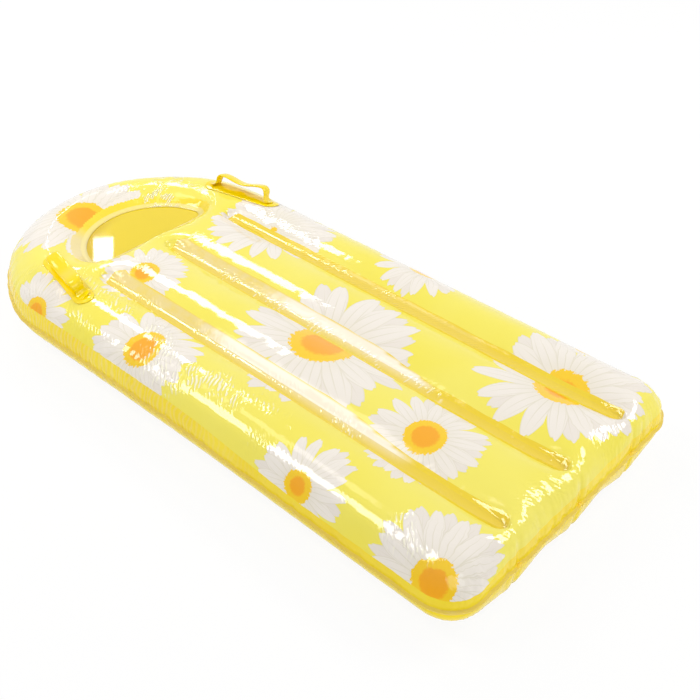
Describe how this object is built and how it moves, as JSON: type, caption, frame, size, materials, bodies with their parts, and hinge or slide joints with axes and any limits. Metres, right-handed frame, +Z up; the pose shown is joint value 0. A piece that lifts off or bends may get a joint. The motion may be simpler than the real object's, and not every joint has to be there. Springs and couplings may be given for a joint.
{
  "type": "pool float",
  "caption": "Flat inflatable float with a rounded head, a clear viewing window, lengthwise grooves, soft strap handles and an air valve in its side.",
  "frame": {"origin": "on the floor, below the middle of the float", "axes": "+Y towards the rounded head, +Z up, +X towards the valve's side"},
  "size_m": [0.5, 1.12, 0.144],
  "materials": {
    "printed_film": "glossy",
    "golden_film": "glossy",
    "window_film": "glossy",
    "web_film": "glossy",
    "handle_vinyl": "glossy",
    "valve_vinyl": "glossy"
  },
  "bodies": {
    "float": {"top_sheet": "printed_film", "bottom_sheet": "golden_film", "window_panel": "window_film", "web_left": "web_film", "web_center": "web_film", "web_right": "web_film", "handle_base_left": "handle_vinyl", "handle_base_right": "handle_vinyl", "valve_flange": "valve_vinyl"},
    "left_strap": {"handle_strap_left": "handle_vinyl"},
    "right_strap": {"handle_strap_right": "handle_vinyl"},
    "stem": {"valve_stem": "valve_vinyl", "valve_tether": "valve_vinyl"},
    "plug": {"valve_plug": "valve_vinyl"},
    "flap": {"valve_flap": "valve_vinyl"}
  },
  "joints": [
    {"name": "left_strap_tilt", "type": "hinge", "parent": "float", "child": "left_strap", "pos_m": [-0.18901, 0.28743, 0.12493], "axis": [-0.2079, -0.9781, 0], "range_deg": [-45, 35], "stiffness_Nm_per_rad": 0.15},
    {"name": "right_strap_tilt", "type": "hinge", "parent": "float", "child": "right_strap", "pos_m": [0.18901, 0.28743, 0.12493], "axis": [-0.2079, 0.9781, 0], "range_deg": [-45, 35], "stiffness_Nm_per_rad": 0.15},
    {"name": "valve_stem_pull", "type": "slide", "parent": "float", "child": "stem", "axis": [0.884, 0, -0.4676], "range_m": [0, 0.012]},
    {"name": "valve_plug_pull", "type": "slide", "parent": "stem", "child": "plug", "axis": [0.884, 0, -0.4676], "range_m": [0, 0.01]},
    {"name": "valve_flap_swing", "type": "hinge", "parent": "stem", "child": "flap", "pos_m": [0.22193, -0.266, 0.0374], "axis": [0.4676, 0, 0.884], "range_deg": [0, 60], "stiffness_Nm_per_rad": 0.0005}
  ]
}
